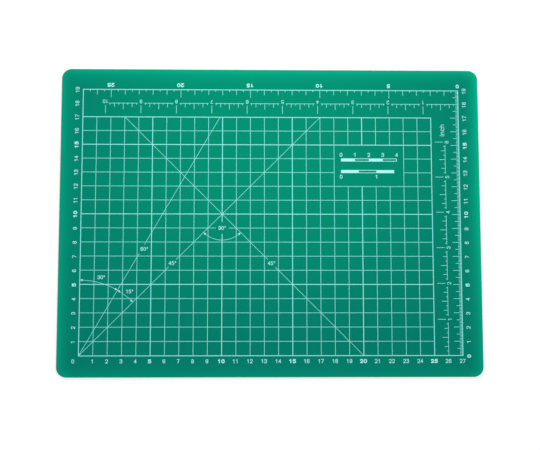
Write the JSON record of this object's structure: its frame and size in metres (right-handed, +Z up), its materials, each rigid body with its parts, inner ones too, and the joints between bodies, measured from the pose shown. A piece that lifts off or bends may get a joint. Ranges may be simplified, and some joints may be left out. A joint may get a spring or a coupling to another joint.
{
  "type": "cutting mat",
  "caption": "Flat self-healing cutting mat: a rounded rectangular laminate of soft plies with a printed centimetre grid, ruler scales and angle lines on its upper face.",
  "frame": {"origin": "middle of the underside, where the mat lies on a table", "axes": "+X along the long side, +Y along the short side towards the inch scale's edge, +Z up out of the printed face"},
  "size_m": [0.3, 0.22, 0.003],
  "materials": {
    "green_face": "fine matte grain, soft PVC",
    "core_sheet": "cut edge of harder PVC sheet",
    "white_ink": "matte screen-printed ink"
  },
  "bodies": {
    "root": {"top_cutting_ply": "green_face", "upper_core_ply": "core_sheet", "middle_core_ply": "core_sheet", "lower_core_ply": "core_sheet", "bottom_ply": "green_face", "border_frame": "white_ink", "centimetre_grid": "white_ink", "angle_lines": "white_ink", "angle_arcs": "white_ink", "angle_labels": "white_ink", "bottom_numbers": "white_ink", "left_numbers": "white_ink", "right_numbers": "white_ink", "top_numbers": "white_ink", "top_centimetre_ticks": "white_ink", "right_millimetre_ticks": "white_ink", "top_inch_scale": "white_ink", "top_inch_numbers": "white_ink", "right_inch_scale": "white_ink", "right_inch_numbers": "white_ink", "inch_label": "white_ink", "scale_key_bars": "white_ink", "scale_key_numbers": "white_ink"}
  },
  "joints": []
}
